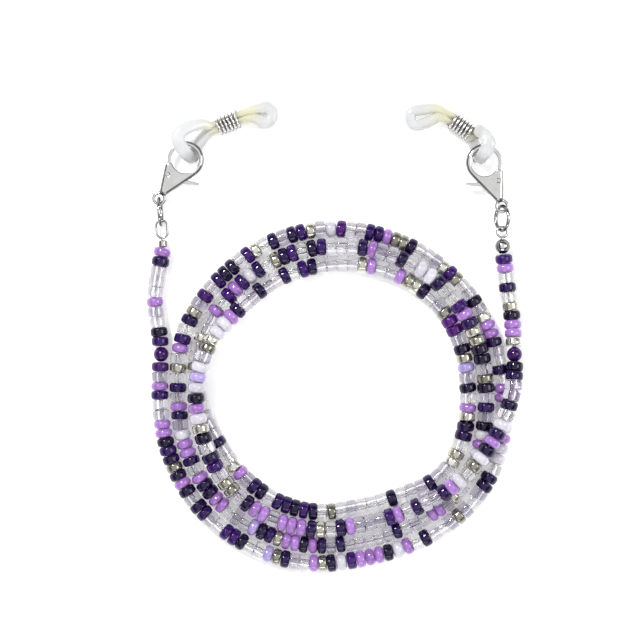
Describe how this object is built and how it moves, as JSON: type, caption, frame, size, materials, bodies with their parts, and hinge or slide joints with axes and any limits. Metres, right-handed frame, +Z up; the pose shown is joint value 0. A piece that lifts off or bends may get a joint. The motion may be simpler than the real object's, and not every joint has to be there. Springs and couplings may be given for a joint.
{
  "type": "eyeglass retainer strap",
  "caption": "Beaded neck strap for spectacles: a strand of small glass beads with a sprung clasp and a slit rubber temple loop at each end.",
  "frame": {"origin": "middle of the strap's footprint, on the surface it lies on", "axes": "+Z up from that surface, +Y from the coil towards the two clasps, +X from the left clasp to the right clasp"},
  "size_m": [0.0748, 0.0936, 0.0073],
  "materials": {
    "dark_bead": "clear glass over a dark indigo lining",
    "plum_bead": "clear glass over a plum lining",
    "lilac_bead": "opaque glossy glass",
    "lavender_bead": "opaque glossy glass",
    "clear_bead": "clear glass",
    "silver_lined_bead": "clear glass over a pale metallic lining",
    "pearl_bead": "milky glossy glass",
    "thread": "thin beading thread",
    "clear_rubber": "translucent silicone",
    "spring_steel": "spring wire",
    "plated_metal": "bright plating"
  },
  "bodies": {
    "coil": {"coil_clear_beads": "clear_bead", "coil_dark_beads": "dark_bead", "coil_joint_beads": "plum_bead", "coil_lavender_beads": "lavender_bead", "coil_lilac_beads": "lilac_bead", "coil_pearl_beads": "pearl_bead", "coil_plum_beads": "plum_bead", "coil_silver_beads": "silver_lined_bead", "coil_thread": "thread"},
    "left_tail": {"left_tail_clear_beads": "clear_bead", "left_tail_dark_beads": "dark_bead", "left_tail_lilac_beads": "lilac_bead", "left_tail_thread": "thread", "left_end_loop": "plated_metal", "left_crimp": "plated_metal"},
    "left_ring": {"left_jump_ring": "plated_metal"},
    "left_clasp": {"left_clasp_body": "plated_metal", "left_clasp_rivet": "plated_metal", "left_lever_spring": "spring_steel"},
    "left_lever": {"left_clasp_lever": "plated_metal"},
    "left_loop": {"left_temple_loop": "clear_rubber"},
    "left_sleeve": {"left_sleeve_coil": "plated_metal"},
    "right_tail": {"right_tail_clear_beads": "clear_bead", "right_tail_dark_beads": "dark_bead", "right_tail_lilac_beads": "lilac_bead", "right_tail_silver_beads": "silver_lined_bead", "right_tail_thread": "thread", "right_end_loop": "plated_metal", "right_crimp": "plated_metal", "right_crimp_cover": "plated_metal"},
    "right_ring": {"right_jump_ring": "plated_metal"},
    "right_clasp": {"right_clasp_body": "plated_metal", "right_clasp_rivet": "plated_metal", "right_lever_spring": "spring_steel"},
    "right_lever": {"right_clasp_lever": "plated_metal"},
    "right_loop": {"right_temple_loop": "clear_rubber"},
    "right_sleeve": {"right_sleeve_coil": "plated_metal"}
  },
  "joints": [
    {"name": "left_tail_swing", "type": "hinge", "parent": "coil", "child": "left_tail", "pos_m": [-0.03447, -0.00336, 0.00177], "axis": [0, 0, 1], "range_deg": [-5, 5]},
    {"name": "left_ring_swing", "type": "hinge", "parent": "left_tail", "child": "left_ring", "pos_m": [-0.03441, 0.02256, 0.00177], "axis": [0, 0, 1], "range_deg": [-10, 10]},
    {"name": "left_clasp_swing", "type": "hinge", "parent": "left_ring", "child": "left_clasp", "pos_m": [-0.03477, 0.02754, 0.00277], "axis": [0, 0, 1], "range_deg": [-12, 12]},
    {"name": "left_lever_press", "type": "hinge", "parent": "left_clasp", "child": "left_lever", "pos_m": [-0.03303, 0.03227, 0.00277], "axis": [0, 0, -1], "range_deg": [0, 15], "stiffness_Nm_per_rad": 0.0006, "springref_deg": -20.05},
    {"name": "left_loop_slip", "type": "hinge", "parent": "left_clasp", "child": "left_loop", "pos_m": [-0.02957, 0.03525, 0.00277], "axis": [0, 0, 1], "range_deg": [-8, 8]},
    {"name": "left_sleeve_slide", "type": "slide", "parent": "left_loop", "child": "left_sleeve", "axis": [0.9298, 0.3681, 0], "range_m": [0, 0.0006]},
    {"name": "right_tail_swing", "type": "hinge", "parent": "coil", "child": "right_tail", "pos_m": [0.03563, -0.00336, 0.00357], "axis": [0, 0, 1], "range_deg": [-5, 5]},
    {"name": "right_ring_swing", "type": "hinge", "parent": "right_tail", "child": "right_ring", "pos_m": [0.03334, 0.02129, 0.00217], "axis": [0, 0, 1], "range_deg": [-10, 10]},
    {"name": "right_clasp_swing", "type": "hinge", "parent": "right_ring", "child": "right_clasp", "pos_m": [0.03323, 0.02604, 0.00277], "axis": [0, 0, 1], "range_deg": [-12, 12]},
    {"name": "right_lever_press", "type": "hinge", "parent": "right_clasp", "child": "right_lever", "pos_m": [0.0325, 0.03103, 0.00277], "axis": [0, 0, 1], "range_deg": [0, 15], "stiffness_Nm_per_rad": 0.0006, "springref_deg": -20.05},
    {"name": "right_loop_slip", "type": "hinge", "parent": "right_clasp", "child": "right_loop", "pos_m": [0.02974, 0.03466, 0.00277], "axis": [0, 0, 1], "range_deg": [-8, 8]},
    {"name": "right_sleeve_slide", "type": "slide", "parent": "right_loop", "child": "right_sleeve", "axis": [-0.809, 0.5878, 0], "range_m": [0, 0.0006]}
  ]
}
